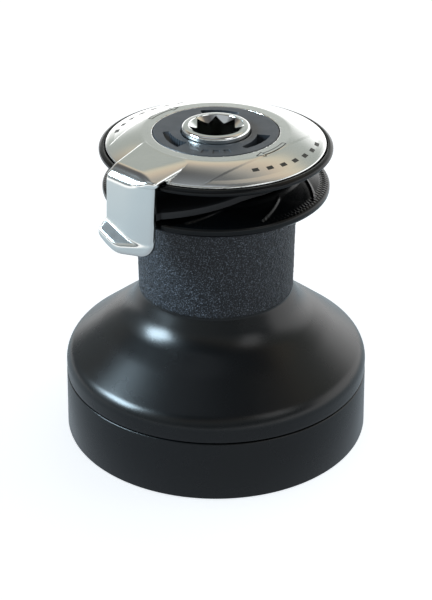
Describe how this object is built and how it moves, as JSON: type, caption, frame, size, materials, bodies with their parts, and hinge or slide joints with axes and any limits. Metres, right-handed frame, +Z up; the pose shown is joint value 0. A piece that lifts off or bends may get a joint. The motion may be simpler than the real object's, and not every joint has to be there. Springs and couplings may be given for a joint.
{
  "type": "self-tailing sailboat winch",
  "caption": "Round two-speed self-tailing deck winch: gripping drum, rope jaws, line feeder arm and star handle socket over a hidden gear train.",
  "frame": {"origin": "centre of the base's underside, on the drum's axis", "axes": "+Z up along the drum's axis, the feeder arm in the -X -Y quarter"},
  "size_m": [0.1488, 0.1488, 0.156],
  "materials": {
    "black_coat": "satin hard-coated black",
    "black_jaw": "gloss black",
    "black_plastic": "satin black",
    "grey_plastic": "fine matt",
    "white_plastic": "smooth acetal",
    "stainless": "polished",
    "polished_steel": "mirror polished",
    "steel": "machined",
    "cast_alloy": "machined casting",
    "bronze": "machined, greased"
  },
  "bodies": {
    "base": {"base_housing": "black_coat", "centre_stem": "cast_alloy", "stem_screws": "steel", "low_idler_pin": "steel", "high_idler_pins": "steel", "pinion_spacer": "steel", "bearing_spacer": "white_plastic", "thrust_washers": "white_plastic", "spindle_bushes": "white_plastic", "line_stripper": "black_plastic", "feeder_arm_cover": "stainless", "cover_keys": "steel", "cover_lock_disc": "grey_plastic"},
    "drum": {"drum": "black_coat", "drum_gear_ring": "bronze", "ring_screws": "steel", "upper_jaw": "black_jaw", "upper_jaw_screws": "steel", "jaw_springs": "steel"},
    "lower_jaw": {"lower_jaw": "black_jaw"},
    "spindle": {"handle_spindle": "polished_steel", "drive_key": "steel", "low_drive_gear": "bronze", "high_pawl_springs": "steel"},
    "high_gear": {"high_drive_gear": "bronze"},
    "high_idler_a": {"high_idler_a": "bronze"},
    "high_idler_b": {"high_idler_b": "bronze"},
    "low_idler": {"low_idler_gear": "bronze", "low_pinion": "steel", "low_pawl_springs": "steel"},
    "low_pawl_a": {"low_pawl_a": "steel"},
    "low_pawl_b": {"low_pawl_b": "steel"},
    "high_pawl_a": {"high_pawl_a": "steel"},
    "high_pawl_b": {"high_pawl_b": "steel"},
    "lower_bearing": {"lower_rollers": "steel", "lower_roller_cage": "white_plastic"},
    "upper_bearing": {"upper_rollers": "steel", "upper_roller_cage": "white_plastic"}
  },
  "joints": [
    {"name": "drum_spin", "type": "hinge", "parent": "base", "child": "drum", "pos_m": [0, 0, 0], "axis": [0, 0, 1], "continuous": true},
    {"name": "spindle_spin", "type": "hinge", "parent": "base", "child": "spindle", "pos_m": [0, 0, 0], "axis": [0, 0, 1], "continuous": true},
    {"name": "low_idler_spin", "type": "hinge", "parent": "base", "child": "low_idler", "pos_m": [0, 0.04, 0], "axis": [0, 0, 1], "continuous": true},
    {"name": "high_gear_spin", "type": "hinge", "parent": "base", "child": "high_gear", "pos_m": [0, 0, 0], "axis": [0, 0, 1], "continuous": true},
    {"name": "high_idler_a_spin", "type": "hinge", "parent": "base", "child": "high_idler_a", "pos_m": [-0.03759, -0.01368, 0], "axis": [0, 0, 1], "continuous": true},
    {"name": "high_idler_b_spin", "type": "hinge", "parent": "base", "child": "high_idler_b", "pos_m": [-0.02868, -0.03597, 0], "axis": [0, 0, 1], "continuous": true},
    {"name": "lower_bearing_spin", "type": "hinge", "parent": "base", "child": "lower_bearing", "pos_m": [0, 0, 0], "axis": [0, 0, 1], "continuous": true},
    {"name": "upper_bearing_spin", "type": "hinge", "parent": "base", "child": "upper_bearing", "pos_m": [0, 0, 0], "axis": [0, 0, 1], "continuous": true},
    {"name": "lower_jaw_slide", "type": "slide", "parent": "drum", "child": "lower_jaw", "axis": [0, 0, -1], "range_m": [0, 0.003], "stiffness_N_per_m": 8000, "springref_m": -0.002, "deforming": ["jaw_springs"]},
    {"name": "low_pawl_a_tilt", "type": "hinge", "parent": "low_idler", "child": "low_pawl_a", "pos_m": [0.0102, 0.04, 0], "axis": [0, 0, 1], "range_deg": [0, 16], "stiffness_Nm_per_rad": 0.02, "springref_deg": -11.46},
    {"name": "high_pawl_a_tilt", "type": "hinge", "parent": "spindle", "child": "high_pawl_a", "pos_m": [0.0102, 0, 0], "axis": [0, 0, -1], "range_deg": [0, 1.5], "stiffness_Nm_per_rad": 0.02},
    {"name": "low_pawl_b_tilt", "type": "hinge", "parent": "low_idler", "child": "low_pawl_b", "pos_m": [-0.0102, 0.04, 0], "axis": [0, 0, 1], "range_deg": [0, 16], "stiffness_Nm_per_rad": 0.02, "springref_deg": -11.46},
    {"name": "high_pawl_b_tilt", "type": "hinge", "parent": "spindle", "child": "high_pawl_b", "pos_m": [-0.0102, 0, 0], "axis": [0, 0, -1], "range_deg": [0, 1.5], "stiffness_Nm_per_rad": 0.02}
  ],
  "couplings": [
    {"joint": "spindle_spin", "follows": "drum_spin", "ratio": -4.3595},
    {"joint": "low_idler_spin", "follows": "drum_spin", "ratio": 3.2222},
    {"joint": "high_gear_spin", "follows": "drum_spin", "ratio": 2.0714},
    {"joint": "high_idler_a_spin", "follows": "drum_spin", "ratio": -4.8333},
    {"joint": "high_idler_b_spin", "follows": "drum_spin", "ratio": 4.8333},
    {"joint": "lower_bearing_spin", "follows": "drum_spin", "ratio": 0.56352},
    {"joint": "upper_bearing_spin", "follows": "drum_spin", "ratio": 0.56352}
  ]
}
